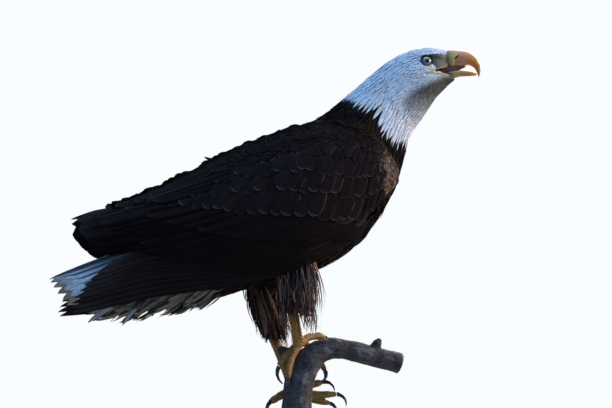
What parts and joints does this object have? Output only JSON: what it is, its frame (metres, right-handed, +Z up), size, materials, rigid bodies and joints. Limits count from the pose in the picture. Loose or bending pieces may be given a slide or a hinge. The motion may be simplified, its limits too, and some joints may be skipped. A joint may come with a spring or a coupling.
{
  "type": "bald eagle figure",
  "caption": "Life-size adult bald eagle at rest with folded wings and slightly open bill, gripping a cut branch on a flat display stand.",
  "frame": {"origin": "centre of the underside of the whole figure's bounding box, at the floor under the stand", "axes": "+Z up, +X the way the bird's body heads, +Y its left side"},
  "size_m": [0.7196, 0.25, 0.8022],
  "materials": {
    "white_plumage": "soft feather",
    "dark_plumage": "soft feather",
    "wing_plumage": "soft feather with a faint sheen",
    "foot_scale": "scaly",
    "bill_horn": "satin horn",
    "mouth_flesh": "moist",
    "eye": "glossy",
    "claw_horn": "satin horn",
    "bark": "rough bark",
    "stand_metal": "brushed",
    "stand_wood": "satin varnish"
  },
  "bodies": {
    "root": {"head": "white_plumage", "bill_upper": "bill_horn", "bill_lower": "bill_horn", "tongue": "mouth_flesh", "eye_left": "eye", "eye_right": "eye", "neck": "dark_plumage", "trunk": "dark_plumage", "tail": "white_plumage", "wing_left": "wing_plumage", "wing_right": "wing_plumage", "primaries_left": "wing_plumage", "primaries_right": "wing_plumage", "thigh_left": "dark_plumage", "thigh_right": "dark_plumage", "shank_left": "foot_scale", "shank_right": "foot_scale", "toe_hallux_right": "foot_scale", "claw_hallux_right": "claw_horn", "toe_inner_right": "foot_scale", "claw_inner_right": "claw_horn", "toe_middle_right": "foot_scale", "claw_middle_right": "claw_horn", "toe_outer_right": "foot_scale", "claw_outer_right": "claw_horn", "toe_hallux_left": "foot_scale", "claw_hallux_left": "claw_horn", "toe_inner_left": "foot_scale", "claw_inner_left": "claw_horn", "toe_middle_left": "foot_scale", "claw_middle_left": "claw_horn", "toe_outer_left": "foot_scale", "claw_outer_left": "claw_horn", "perch": "bark", "stand_rod": "stand_metal", "stand_base": "stand_wood"}
  },
  "joints": []
}
